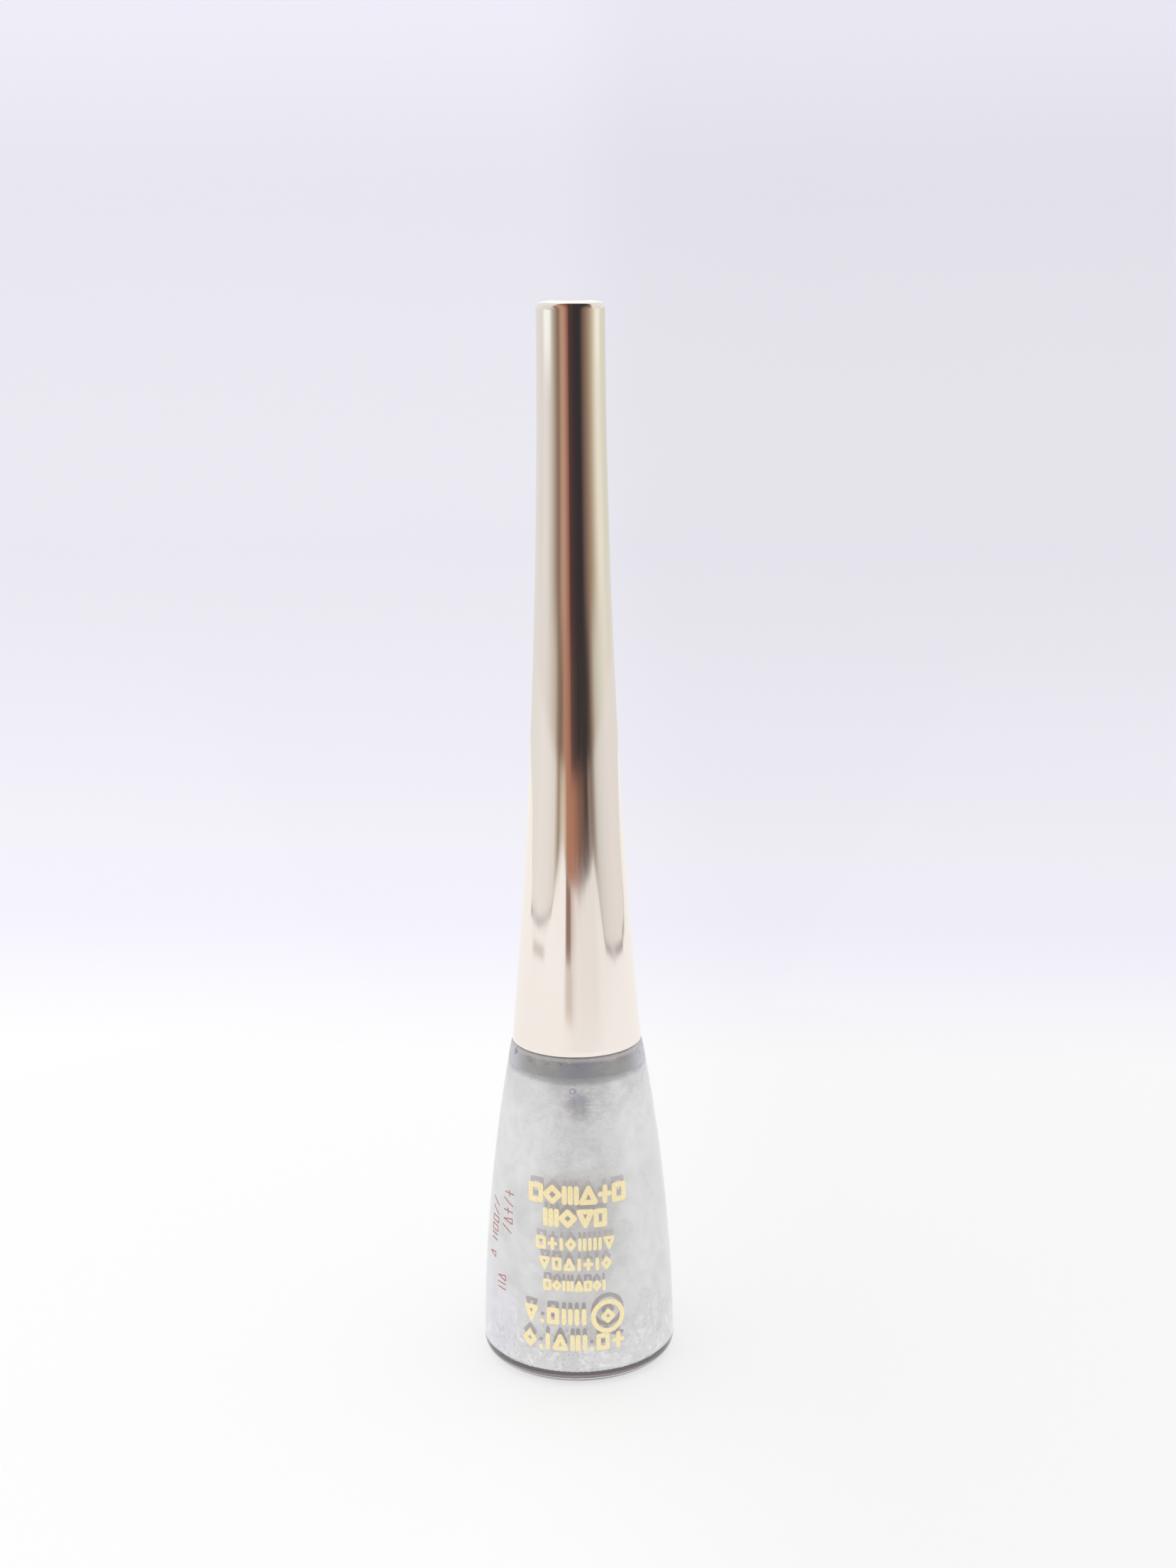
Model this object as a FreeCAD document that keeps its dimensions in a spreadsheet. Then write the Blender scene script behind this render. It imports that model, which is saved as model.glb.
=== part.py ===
import FreeCAD, Part

import math
import os

import Sketcher

# A dip eyeliner bottle: a clear, thick-walled bottle of glitter liner, and a tall flared screw
# cap that carries the brush wand. Millimetres, +Z up, origin in the middle of the face that the
# bottle stands on.

SIZES = {
    # bottle, outside
    "bottle_radius": 10.60,
    "heel_round": 1.90,
    "side_curve": 204.0,
    "shoulder_radius": 7.08,
    "shoulder_height": 36.36,
    "shoulder_round": 0.60,
    "foot_radius": 7.60,
    "foot_depth": 0.45,
    # bottle, inside
    "cavity_radius": 8.68,
    "cavity_floor": 1.20,
    "cavity_round": 0.50,
    "cavity_curve": 202.0,
    "cavity_top_radius": 5.60,
    "cavity_roof": 33.50,
    "cavity_top_round": 0.90,
    # neck, and the thread that it shares with the inner cap
    "neck_radius": 4.05,
    "neck_crest_radius": 4.62,
    "neck_bore": 2.90,
    "neck_height": 45.40,
    "neck_round": 0.30,
    "neck_thread_start": 39.90,
    "thread_pitch": 2.20,
    "thread_turns": 1.25,
    "thread_half_root": 0.50,
    "thread_half_crest": 0.23,
    "thread_foot": 0.20,
    # the fill, and the way that the wand keeps open in it
    "fill_height": 32.60,
    "fill_gap": 0.01,
    "fill_bore": 1.32,
    "fill_bore_floor": 2.90,
    # wiper
    "wiper_flange": 3.70,
    "wiper_flange_height": 0.50,
    "wiper_inside": 2.35,
    "wiper_wall": 0.45,
    "wiper_cone_top": 38.60,
    "wiper_tip": 36.40,
    "wiper_orifice": 1.16,
    # base label
    "label_radius": 6.90,
    "label_thickness": 0.12,
    # cap shell, outside
    "cap_foot": 36.42,
    "cap_foot_radius": 7.03,
    "cap_foot_round": 0.15,
    "cap_lower_curve": 806.0,
    "cap_middle": 75.65,
    "cap_middle_radius": 4.397,
    "cap_upper_curve": 919.0,
    "cap_side_top": 115.05,
    "cap_side_top_radius": 3.56,
    "cap_flat_radius": 2.00,
    "cap_height": 115.28,
    "cap_top_round": 0.80,
    # cap shell, inside
    "liner_seat": 5.40,
    "liner_seat_top": 47.60,
    "boss_seat": 4.30,
    "boss_seat_top": 58.00,
    "core_radius": 3.70,
    "core_tip_radius": 2.50,
    "core_tip": 113.60,
    # keys between the inner cap and the shell
    "key_count": 6,
    "key_width": 0.80,
    "key_slot_width": 0.90,
    "key_radius": 5.70,
    "key_slot_radius": 5.75,
    "key_foot": 37.40,
    "key_top": 44.00,
    # inner cap
    "liner_radius": 5.38,
    "liner_foot": 36.90,
    "liner_bore": 4.76,
    "liner_crest_radius": 4.22,
    "liner_thread_start": 39.23,
    "liner_ceiling": 46.60,
    "liner_top": 47.50,
    "boss_radius": 4.28,
    "boss_top": 57.40,
    "socket_bore": 1.73,
    "socket_top": 55.40,
    # sealing washer
    "washer_radius": 3.60,
    "washer_hole": 1.25,
    "washer_gap": 0.03,
    "washer_thickness": 0.60,
    # wand
    "stem_radius": 1.10,
    "stem_tip_radius": 0.90,
    "stem_tip": 14.00,
    "stem_taper": 3.00,
    "head_radius": 1.70,
    "head_foot": 46.65,
    "head_top": 55.30,
    "tip_hole": 0.67,
    "tip_hole_depth": 2.60,
    # brush
    "tuft_radius": 0.66,
    "tuft_belly_radius": 0.80,
    "tuft_belly": 11.60,
    "tuft_belly_curve": 30.0,
    "tuft_point_radius": 0.10,
    "tuft_point": 3.90,
    "tuft_curve": 90.0,
    "staple_thickness": 0.25,
    "staple_width": 1.10,
    "staple_height": 0.90,
}

doc = FreeCAD.newDocument("eyeliner_bottle")
sheet = doc.addObject("Spreadsheet::Sheet", "Sizes")
for row, (name, size) in enumerate(SIZES.items(), start=1):
    sheet.set(f"A{row}", name)
    sheet.set(f"B{row}", str(size))
    sheet.setAlias(f"B{row}", name)
doc.recompute()

ORIGIN = (-1, 1)
ACROSS = -1
UP = -2


def worth(size_sum):
    """The number that a sum of sizes, such as "neck_radius - thread_foot", comes to."""
    total, sign = 0.0, 1.0
    for word in size_sum.split():
        if word == "+":
            sign = 1.0
        elif word == "-":
            sign = -1.0
        else:
            total += sign * (SIZES[word] if word in SIZES else float(word))
    return total


def bound(size_sum):
    """The same sum as an expression on the sheet."""
    return " ".join(f"Sizes.{word}" if word in SIZES else word for word in size_sum.split())


def new_body(name):
    body = doc.addObject("PartDesign::Body", name)
    body.Label = name
    return body


def new_sketch(body, name):
    sketch = body.newObject("Sketcher::SketchObject", name)
    plane = next(f for f in body.Origin.OriginFeatures if f.Role == "XZ_Plane")
    sketch.AttachmentSupport = [(plane, "")]
    sketch.MapMode = "FlatFace"
    return sketch


def pin(sketch, kind, side, end, size_sum):
    """Holds one coordinate of a side's end at a distance from the origin that the sheet gives."""
    if worth(size_sum) == 0.0:
        axis = UP if kind == "DistanceX" else ACROSS
        sketch.addConstraint(Sketcher.Constraint("PointOnObject", side, end, axis))
        return
    constraint = Sketcher.Constraint(kind, *ORIGIN, side, end, worth(size_sum))
    index = sketch.addConstraint(constraint)
    sketch.setExpression(f"Constraints[{index}]", bound(size_sum))


def curved(start, end, radius):
    """The arc from start to end that bulges to the right of the way along it."""
    chord = end - start
    rise = radius - math.sqrt(radius**2 - chord.Length**2 / 4)
    right = FreeCAD.Vector(chord.y, -chord.x, 0).normalize()
    return Part.Arc(start, (start + end) * 0.5 + right * rise, end)


def outline(body, name, corners):
    """A closed outline of (radius, height) corners, each a sum of sizes.

    A third entry curves the side to the next corner. It is the curve's radius, and the side
    bulges to the right of the way along it, or to the left where the entry starts with "left ".
    """
    sketch = new_sketch(body, name)
    points = [FreeCAD.Vector(worth(x), worth(z), 0) for x, z, *_ in corners]
    ends = []
    for i, (_, _, *curve) in enumerate(corners):
        start, end = points[i], points[(i + 1) % len(points)]
        if not curve:
            side = Part.LineSegment(start, end)
        elif curve[0].startswith("left "):
            side = curved(end, start, worth(curve[0].removeprefix("left ")))
        else:
            side = curved(start, end, worth(curve[0]))
        sketch.addGeometry(side)
        backwards = sketch.Geometry[i].StartPoint.distanceToPoint(start) > 1e-6
        ends.append((2, 1) if backwards else (1, 2))
    for i, (x, z, *curve) in enumerate(corners):
        following = (i + 1) % len(corners)
        meeting = (i, ends[i][1], following, ends[following][0])
        sketch.addConstraint(Sketcher.Constraint("Coincident", *meeting))
        pin(sketch, "DistanceX", i, ends[i][0], x)
        pin(sketch, "DistanceY", i, ends[i][0], z)
        if curve:
            radius = curve[0].removeprefix("left ")
            index = sketch.addConstraint(Sketcher.Constraint("Radius", i, worth(radius)))
            sketch.setExpression(f"Constraints[{index}]", bound(radius))
    return sketch


def round_feature(body, kind, name, sketch):
    """A feature that takes its sketch round the Z axis, as the body's newest."""
    feature = body.newObject(f"PartDesign::{kind}", name)
    feature.Profile = sketch
    feature.ReferenceAxis = (sketch, ["V_Axis"])
    body.Tip = feature
    return feature


def turned(body, name, *corners):
    """A solid of revolution about Z."""
    feature = round_feature(body, "Revolution", name, outline(body, f"{name}_outline", corners))
    feature.Angle = 360.0
    doc.recompute()


def bored(body, name, *corners):
    """A hollow of revolution about Z, cut from the body."""
    before = body.Shape.Volume
    feature = round_feature(body, "Groove", name, outline(body, f"{name}_outline", corners))
    feature.Angle = 360.0
    doc.recompute()
    if body.Shape.Volume >= before:
        raise RuntimeError(f"{name} cut nothing")


def rounded(body, name, radius, *rings):
    """Rounds the circular edges at the given (radius, height) places."""
    base = body.Tip
    places = [(worth(x), worth(z)) for x, z in rings]
    edges = []
    for number, edge in enumerate(base.Shape.Edges, start=1):
        if isinstance(edge.Curve, Part.Circle):
            place = (edge.Curve.Radius, edge.Curve.Center.z)
            if any(math.dist(place, wanted) < 0.01 for wanted in places):
                edges.append(f"Edge{number}")
    if len(edges) < len(rings):
        raise RuntimeError(f"{name} found {len(edges)} of {len(rings)} edges")
    feature = body.newObject("PartDesign::Fillet", name)
    feature.Base = (base, edges)
    feature.setExpression("Radius", bound(radius))
    body.Tip = feature
    doc.recompute()


def threaded(body, name, foot, crest, start):
    """A helical ridge whose cross-section stands between two radii, centred on a height."""
    before = body.Shape.Volume
    corners = [
        (foot, f"{start} - thread_half_root"),
        (crest, f"{start} - thread_half_crest"),
        (crest, f"{start} + thread_half_crest"),
        (foot, f"{start} + thread_half_root"),
    ]
    ridge = round_feature(body, "AdditiveHelix", name, outline(body, f"{name}_outline", corners))
    ridge.Mode = "pitch-turns-angle"
    ridge.setExpression("Pitch", bound("thread_pitch"))
    ridge.setExpression("Turns", bound("thread_turns"))
    doc.recompute()
    if body.Shape.Volume <= before:
        raise RuntimeError(f"{name} added nothing")


def keyed(body, kind, name, inner, outer, width):
    """Upright keys (Pad) or their slots (Pocket), evenly spaced round the axis."""
    before = body.Shape.Volume
    corners = [
        (inner, "key_foot"),
        (outer, "key_foot"),
        (outer, "key_top"),
        (inner, "key_top"),
    ]
    sketch = outline(body, f"{name}_outline", corners)
    key = body.newObject(f"PartDesign::{kind}", name)
    key.Profile = sketch
    key.SideType = "Symmetric"
    key.setExpression("Length", bound(width))
    doc.recompute()
    pattern = body.newObject("PartDesign::PolarPattern", f"{name}_pattern")
    pattern.Originals = [key]
    pattern.Axis = (sketch, ["V_Axis"])
    pattern.Angle = 360.0
    pattern.setExpression("Occurrences", bound("key_count"))
    body.Tip = pattern
    doc.recompute()
    if math.isclose(body.Shape.Volume, before, rel_tol=1e-9):
        raise RuntimeError(f"{name} changed nothing")


def make_bottle():
    body = new_body("bottle")
    turned(
        body,
        "bottle_outside",
        ("0", "0"),
        ("bottle_radius", "0", "side_curve"),
        ("shoulder_radius", "shoulder_height"),
        ("neck_radius", "shoulder_height"),
        ("neck_radius", "neck_height"),
        ("0", "neck_height"),
    )
    rounded(body, "heel", "heel_round", ("bottle_radius", "0"))
    rounded(body, "shoulder_edge", "shoulder_round", ("shoulder_radius", "shoulder_height"))
    rounded(body, "lip", "neck_round", ("neck_radius", "neck_height"))
    bored(
        body,
        "foot_recess",
        ("0", "0"),
        ("foot_radius", "0"),
        ("foot_radius - foot_depth", "foot_depth"),
        ("0", "foot_depth"),
    )
    bored(
        body,
        "cavity",
        ("0", "cavity_floor"),
        ("cavity_radius", "cavity_floor", "cavity_curve"),
        ("cavity_top_radius", "cavity_roof"),
        ("0", "cavity_roof"),
    )
    rounded(body, "cavity_corner", "cavity_round", ("cavity_radius", "cavity_floor"))
    rounded(body, "cavity_shoulder", "cavity_top_round", ("cavity_top_radius", "cavity_roof"))
    bored(
        body,
        "mouth",
        ("0", "cavity_roof"),
        ("neck_bore", "cavity_roof"),
        ("neck_bore", "neck_height"),
        ("0", "neck_height"),
    )
    threaded(
        body,
        "neck_thread",
        "neck_radius - thread_foot",
        "neck_crest_radius",
        "neck_thread_start",
    )


def make_liquid():
    """The fill takes the shape of the cavity up to its level, less the way of the wand."""
    body = new_body("liquid")
    turned(
        body,
        "cavity_shape",
        ("0", "cavity_floor + fill_gap"),
        ("cavity_radius - fill_gap", "cavity_floor + fill_gap", "cavity_curve - fill_gap"),
        ("cavity_top_radius - fill_gap", "cavity_roof - fill_gap"),
        ("0", "cavity_roof - fill_gap"),
    )
    rounded(
        body,
        "fill_corner",
        "cavity_round",
        ("cavity_radius - fill_gap", "cavity_floor + fill_gap"),
    )
    bored(
        body,
        "fill_level",
        ("0", "fill_height"),
        ("cavity_radius", "fill_height"),
        ("cavity_radius", "cavity_roof"),
        ("0", "cavity_roof"),
    )
    bored(
        body,
        "wand_way",
        ("0", "fill_bore_floor"),
        ("fill_bore", "fill_bore_floor"),
        ("fill_bore", "fill_height"),
        ("0", "fill_height"),
    )


def make_wiper():
    body = new_body("wiper")
    turned(
        body,
        "wiper_sleeve",
        ("neck_bore", "neck_height"),
        ("wiper_flange", "neck_height"),
        ("wiper_flange", "neck_height + wiper_flange_height"),
        ("wiper_inside", "neck_height + wiper_flange_height"),
        ("wiper_inside", "wiper_cone_top"),
        ("wiper_orifice", "wiper_tip + wiper_wall"),
        ("wiper_orifice", "wiper_tip"),
        ("wiper_orifice + wiper_wall", "wiper_tip"),
        ("neck_bore", "wiper_cone_top - wiper_wall"),
    )


def make_base_label():
    body = new_body("base_label")
    turned(
        body,
        "label_disc",
        ("0", "foot_depth - label_thickness"),
        ("label_radius", "foot_depth - label_thickness"),
        ("label_radius", "foot_depth"),
        ("0", "foot_depth"),
    )


def make_cap_shell():
    body = new_body("cap_shell")
    turned(
        body,
        "shell_outside",
        ("0", "cap_foot"),
        ("cap_foot_radius", "cap_foot", "left cap_lower_curve"),
        ("cap_middle_radius", "cap_middle", "left cap_upper_curve"),
        ("cap_side_top_radius", "cap_side_top"),
        ("cap_flat_radius", "cap_height"),
        ("0", "cap_height"),
    )
    rounded(
        body,
        "crown",
        "cap_top_round",
        ("cap_side_top_radius", "cap_side_top"),
        ("cap_flat_radius", "cap_height"),
    )
    rounded(body, "cap_rim", "cap_foot_round", ("cap_foot_radius", "cap_foot"))
    bored(
        body,
        "shell_inside",
        ("0", "cap_foot"),
        ("liner_seat", "cap_foot"),
        ("liner_seat", "liner_seat_top"),
        ("boss_seat", "liner_seat_top"),
        ("boss_seat", "boss_seat_top"),
        ("core_radius", "boss_seat_top"),
        ("core_tip_radius", "core_tip"),
        ("0", "core_tip"),
    )
    keyed(
        body,
        "Pocket",
        "key_slot",
        "liner_seat - thread_foot",
        "key_slot_radius",
        "key_slot_width",
    )


def make_inner_cap():
    body = new_body("inner_cap")
    turned(
        body,
        "liner_wall",
        ("liner_bore", "liner_foot"),
        ("liner_radius", "liner_foot"),
        ("liner_radius", "liner_top"),
        ("boss_radius", "liner_top"),
        ("boss_radius", "boss_top"),
        ("0", "boss_top"),
        ("0", "socket_top"),
        ("socket_bore", "socket_top"),
        ("socket_bore", "liner_ceiling"),
        ("liner_bore", "liner_ceiling"),
    )
    keyed(body, "Pad", "key", "liner_bore + thread_foot", "key_radius", "key_width")
    threaded(
        body,
        "liner_thread",
        "liner_bore + thread_foot",
        "liner_crest_radius",
        "liner_thread_start",
    )


def make_seal_washer():
    body = new_body("seal_washer")
    bottom = "neck_height + wiper_flange_height + washer_gap"
    top = f"{bottom} + washer_thickness"
    turned(
        body,
        "washer_ring",
        ("washer_hole", bottom),
        ("washer_radius", bottom),
        ("washer_radius", top),
        ("washer_hole", top),
    )


def make_wand_stem():
    body = new_body("wand_stem")
    turned(
        body,
        "stem_rod",
        ("0", "stem_tip"),
        ("stem_tip_radius", "stem_tip"),
        ("stem_radius", "stem_tip + stem_taper"),
        ("stem_radius", "head_foot"),
        ("head_radius", "head_foot"),
        ("head_radius", "head_top"),
        ("0", "head_top"),
    )
    bored(
        body,
        "tip_socket",
        ("0", "stem_tip"),
        ("tip_hole", "stem_tip"),
        ("tip_hole", "stem_tip + tip_hole_depth"),
        ("0", "stem_tip + tip_hole_depth"),
    )


def make_brush():
    """The tuft as one tapered form, which ends under its staple."""
    body = new_body("brush")
    root = "stem_tip + tip_hole_depth - staple_height"
    turned(
        body,
        "tuft",
        ("0", "tuft_point"),
        ("tuft_point_radius", "tuft_point", "tuft_curve"),
        ("tuft_belly_radius", "tuft_belly", "tuft_belly_curve"),
        ("tuft_radius", "stem_tip"),
        ("tuft_radius", root),
        ("0", root),
    )


def make_brush_staple():
    """The flat wire that holds the folded tuft in the bottom of the stem's socket."""
    staple = doc.addObject("Part::Box", "brush_staple")
    staple.Label = "brush_staple"
    staple.setExpression("Length", bound("staple_width"))
    staple.setExpression("Width", bound("staple_thickness"))
    staple.setExpression("Height", bound("staple_height"))
    staple.setExpression("Placement.Base.x", "-Sizes.staple_width / 2")
    staple.setExpression("Placement.Base.y", "-Sizes.staple_thickness / 2")
    foot = bound("stem_tip + tip_hole_depth - staple_height")
    staple.setExpression("Placement.Base.z", foot)


make_bottle()
make_liquid()
make_wiper()
make_base_label()
make_cap_shell()
make_inner_cap()
make_seal_washer()
make_wand_stem()
make_brush()
make_brush_staple()
doc.recompute()

for item in doc.Objects:
    if "Invalid" in item.State or "Error" in item.State:
        raise RuntimeError(f"{item.Name} failed: {item.State}")

nodes = [o for o in doc.Objects if o.TypeId in ("PartDesign::Body", "Part::Box")]
for node in nodes:
    if node.Shape.isNull() or not node.Shape.isValid():
        raise RuntimeError(f"{node.Label} is not a sound solid")

os.makedirs("parts", exist_ok=True)
for node in nodes:
    node.Shape.exportStep(f"parts/{node.Label}.step")
    print(node.Label, len(node.Shape.Solids), round(node.Shape.Volume, 2))
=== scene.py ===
import math
import random

import bmesh
import bpy
from mathutils import Matrix, Vector


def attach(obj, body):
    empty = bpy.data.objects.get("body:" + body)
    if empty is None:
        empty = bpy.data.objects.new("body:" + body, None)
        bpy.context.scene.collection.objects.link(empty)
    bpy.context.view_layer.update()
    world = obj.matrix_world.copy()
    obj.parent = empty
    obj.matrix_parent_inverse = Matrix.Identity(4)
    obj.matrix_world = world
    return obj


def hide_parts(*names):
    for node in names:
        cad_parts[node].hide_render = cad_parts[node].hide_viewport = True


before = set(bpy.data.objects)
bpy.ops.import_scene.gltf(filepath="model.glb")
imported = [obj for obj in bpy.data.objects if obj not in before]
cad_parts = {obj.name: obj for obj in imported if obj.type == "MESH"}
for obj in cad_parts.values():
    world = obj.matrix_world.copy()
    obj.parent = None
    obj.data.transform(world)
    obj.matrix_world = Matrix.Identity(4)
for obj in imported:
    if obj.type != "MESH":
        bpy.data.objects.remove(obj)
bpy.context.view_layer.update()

# A dip eyeliner bottle: a clear thick-walled bottle of silver glitter liner under a tall, flared,
# mirror-like pale gold cap. Metres, +Z up, -Y the front.

MM = 0.001
TAU = 2 * math.pi

# ---------------------------------------------------------------- camera

CAMERA_PLACE = Vector((0, -253.2, 125.9)) * MM
CAMERA_PITCH = math.radians(13.588)
CAMERA_YAW = math.radians(0.323)
CAMERA_ROLL = math.radians(-0.4186)
CAMERA_LENS = 56.22


def make_camera():
    forward = Vector((
        math.sin(CAMERA_YAW) * math.cos(CAMERA_PITCH),
        math.cos(CAMERA_YAW) * math.cos(CAMERA_PITCH),
        -math.sin(CAMERA_PITCH),
    ))
    right = forward.cross(Vector((0, 0, 1))).normalized()
    up = right.cross(forward)
    across = right * math.cos(CAMERA_ROLL) + up * math.sin(CAMERA_ROLL)
    along = up * math.cos(CAMERA_ROLL) - right * math.sin(CAMERA_ROLL)
    camera = bpy.data.objects.new("camera", bpy.data.cameras.new("camera"))
    turn = Matrix((across, along, -forward)).transposed().to_4x4()
    camera.matrix_world = Matrix.Translation(CAMERA_PLACE) @ turn
    camera.data.sensor_width = 36.0
    camera.data.lens = CAMERA_LENS
    camera.data.clip_start = 0.01
    camera.data.clip_end = 20.0
    bpy.context.collection.objects.link(camera)
    bpy.context.scene.camera = camera


# ---------------------------------------------------------------- node helpers


class Graph:
    """A material's or world's node tree, with short calls for its usual nodes."""

    def __init__(self, owner):
        owner.use_nodes = True
        self.tree = owner.node_tree
        self.tree.nodes.clear()

    def add(self, kind, **settings):
        node = self.tree.nodes.new(f"ShaderNode{kind}")
        for name, value in settings.items():
            setattr(node, name, value)
        return node

    def put(self, node, socket, value):
        """Links a socket's value, or sets it where it is a plain number or colour."""
        target = node.inputs[socket]
        if isinstance(value, bpy.types.NodeSocket):
            self.tree.links.new(value, target)
        elif value is not None:
            target.default_value = value

    def math(self, operation, a, b=None):
        node = self.add("Math", operation=operation)
        self.put(node, 0, a)
        self.put(node, 1, b)
        return node.outputs[0]

    def times(self, a, b):
        return self.math("MULTIPLY", a, b)

    def plus(self, a, b):
        return self.math("ADD", a, b)

    def minus(self, a, b):
        return self.math("SUBTRACT", a, b)

    def degrees(self, radians):
        return self.times(radians, 180 / math.pi)

    def bearing(self, x, y):
        """A point's bearing about the axis in degrees, the front at 0 and +X at 90."""
        return self.degrees(self.math("ARCTAN2", x, self.times(y, -1.0)))

    def from_axis(self, x, y):
        return self.math("SQRT", self.plus(self.times(x, x), self.times(y, y)))

    def smooth(self, value, low, high):
        """0 below low, 1 above high, with a soft step between them; low may be above high."""
        node = self.add("MapRange", interpolation_type="SMOOTHSTEP")
        self.put(node, "Value", value)
        flip = low > high
        self.put(node, "From Min", min(low, high))
        self.put(node, "From Max", max(low, high))
        self.put(node, "To Min", 1.0 if flip else 0.0)
        self.put(node, "To Max", 0.0 if flip else 1.0)
        return node.outputs["Result"]

    def between(self, value, low, high, soft):
        """1 between low and high, with soft edges."""
        rising = self.smooth(value, low - soft, low + soft)
        return self.times(rising, self.smooth(value, high + soft, high - soft))

    def scaled(self, value, low, high):
        """A 0 to 1 value taken to low to high."""
        node = self.add("MapRange")
        self.put(node, "Value", value)
        self.put(node, "To Min", low)
        self.put(node, "To Max", high)
        return node.outputs["Result"]

    def mix(self, factor, a, b, blend="MIX"):
        node = self.add("Mix", data_type="RGBA", blend_type=blend)
        self.put(node, "Factor", factor)
        self.put(node, 6, a if isinstance(a, bpy.types.NodeSocket) else (*a, 1.0))
        self.put(node, 7, b if isinstance(b, bpy.types.NodeSocket) else (*b, 1.0))
        return node.outputs[2]

    def ramp(self, value, *stops):
        """A colour for each value, between stops of (value, colour)."""
        node = self.add("ValToRGB")
        elements = node.color_ramp.elements
        while len(elements) < len(stops):
            elements.new(0.5)
        for element, (place, colour) in zip(elements, stops):
            element.position = place
            element.color = (*colour, 1.0)
        self.put(node, "Fac", value)
        return node.outputs["Color"]

    def grey(self, value):
        return self.ramp(value, (0.0, (0, 0, 0)), (1.0, (1, 1, 1)))

    def place(self):
        """A point's place in metres, in the object's own frame."""
        return self.add("TexCoord").outputs["Object"]

    def split(self, vector):
        node = self.add("SeparateXYZ")
        self.put(node, 0, vector)
        return node.outputs

    def stretched(self, vector, scale):
        node = self.add("Mapping")
        self.put(node, "Vector", vector)
        self.put(node, "Scale", scale)
        return node.outputs[0]

    def noise(self, vector, scale, detail=3.0, roughness=0.5, distortion=0.0):
        node = self.add("TexNoise")
        self.put(node, "Vector", vector)
        self.put(node, "Scale", scale)
        self.put(node, "Detail", detail)
        self.put(node, "Roughness", roughness)
        self.put(node, "Distortion", distortion)
        return node.outputs["Fac"]

    def cells(self, vector, scale):
        node = self.add("TexVoronoi")
        self.put(node, "Vector", vector)
        self.put(node, "Scale", scale)
        return node.outputs

    def bump(self, height, strength, distance):
        node = self.add("Bump")
        self.put(node, "Height", height)
        self.put(node, "Strength", strength)
        self.put(node, "Distance", distance)
        return node.outputs["Normal"]

    def surface(self, **sockets):
        """The Principled shader that the tree ends in."""
        shader = self.add("BsdfPrincipled")
        for name, value in sockets.items():
            name = name.replace("_", " ")
            if name == "Base Color" and isinstance(value, tuple):
                value = (*value, 1.0)
            self.put(shader, name, value)
        self.end(shader)

    def glow(self, colour):
        """The plain light that the tree ends in."""
        shader = self.add("Emission")
        self.put(shader, "Color", colour)
        self.end(shader)

    def end(self, shader, output="OutputMaterial"):
        self.put(self.add(output), "Surface", shader.outputs[0])


def new_material(name):
    material = bpy.data.materials.new(name)
    return material, Graph(material)


# ---------------------------------------------------------------- materials of the object


def metallised_plastic():
    """Vacuum-metallised pale champagne gold: a mirror with faint flow lines and rub marks."""
    material, g = new_material("metallised_plastic")
    place = g.place()
    rub = g.noise(g.stretched(place, (900, 900, 60)), 1.0, 4.0, 0.6)
    wave = g.noise(g.stretched(place, (160, 160, 25)), 1.0, 2.0)
    tint = g.mix(g.smooth(wave, 0.3, 0.7), (0.925, 0.860, 0.795), (0.935, 0.872, 0.812))
    g.surface(
        Base_Color=tint,
        Metallic=1.0,
        Roughness=g.scaled(g.smooth(rub, 0.35, 0.75), 0.035, 0.075),
        Normal=g.bump(wave, 0.05, 0.0002),
    )
    return material


def clear_plastic():
    """Thick clear moulding, polished, with a film of dried liner at its shoulder, its grey partly
    painted reflection, and dark and light blotches near its top.
    """
    material, g = new_material("clear_plastic")
    place = g.place()
    wave = g.noise(g.stretched(place, (140, 140, 60)), 1.0, 2.0)
    x, y, height = g.split(place)
    turn = g.bearing(x, y)
    smear = g.noise(g.stretched(place, (500, 500, 900)), 1.0, 4.0, 0.6, 0.6)
    shoulder = g.between(height, 0.03420, 0.0380, 0.00010)
    below = g.smooth(height, 0.03335, 0.03425)
    film = g.mix(g.smooth(smear, 0.35, 0.65), (0.305, 0.30, 0.30), (0.36, 0.345, 0.345))
    # painted reflection: the film darker and bluish at the front and lighter at the sides
    middle = g.between(turn, -12, 13, 9)
    film = g.mix(g.times(middle, 0.7), film, (0.26, 0.26, 0.315))
    side = g.smooth(g.math("ABSOLUTE", turn), 44.0, 70.0)
    film = g.mix(g.times(side, 0.9), film, (0.60, 0.59, 0.66))
    # dark and light blotches near the top of the film
    blotches = g.noise(g.stretched(place, (900, 900, 1300)), 1.0, 3.0, 0.55)
    rim = g.smooth(height, 0.03520, 0.03570)
    film = g.mix(g.times(rim, g.smooth(blotches, 0.57, 0.64)), film, (0.24, 0.22, 0.22))
    film = g.mix(g.times(rim, g.smooth(blotches, 0.42, 0.36)), film, (0.46, 0.38, 0.38))
    # painted light: the film lighter just under the cap's foot, where the cap shades it
    film = g.mix(g.times(g.smooth(height, 0.03580, 0.03615), 0.6), film, (0.62, 0.60, 0.60))
    clear = g.mix(g.times(below, 0.8), (0.985, 0.99, 0.99), (0.50, 0.53, 0.57))
    misted = g.plus(g.times(below, 0.30), g.times(shoulder, 0.45))
    g.surface(
        Base_Color=g.mix(shoulder, clear, film),
        Roughness=g.plus(g.scaled(wave, 0.0, 0.02), g.scaled(shoulder, 0.0, 0.3)),
        Transmission_Weight=g.minus(1.0, misted),
        IOR=1.57,
        Normal=g.bump(wave, 0.03, 0.0002),
    )
    return material


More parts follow.
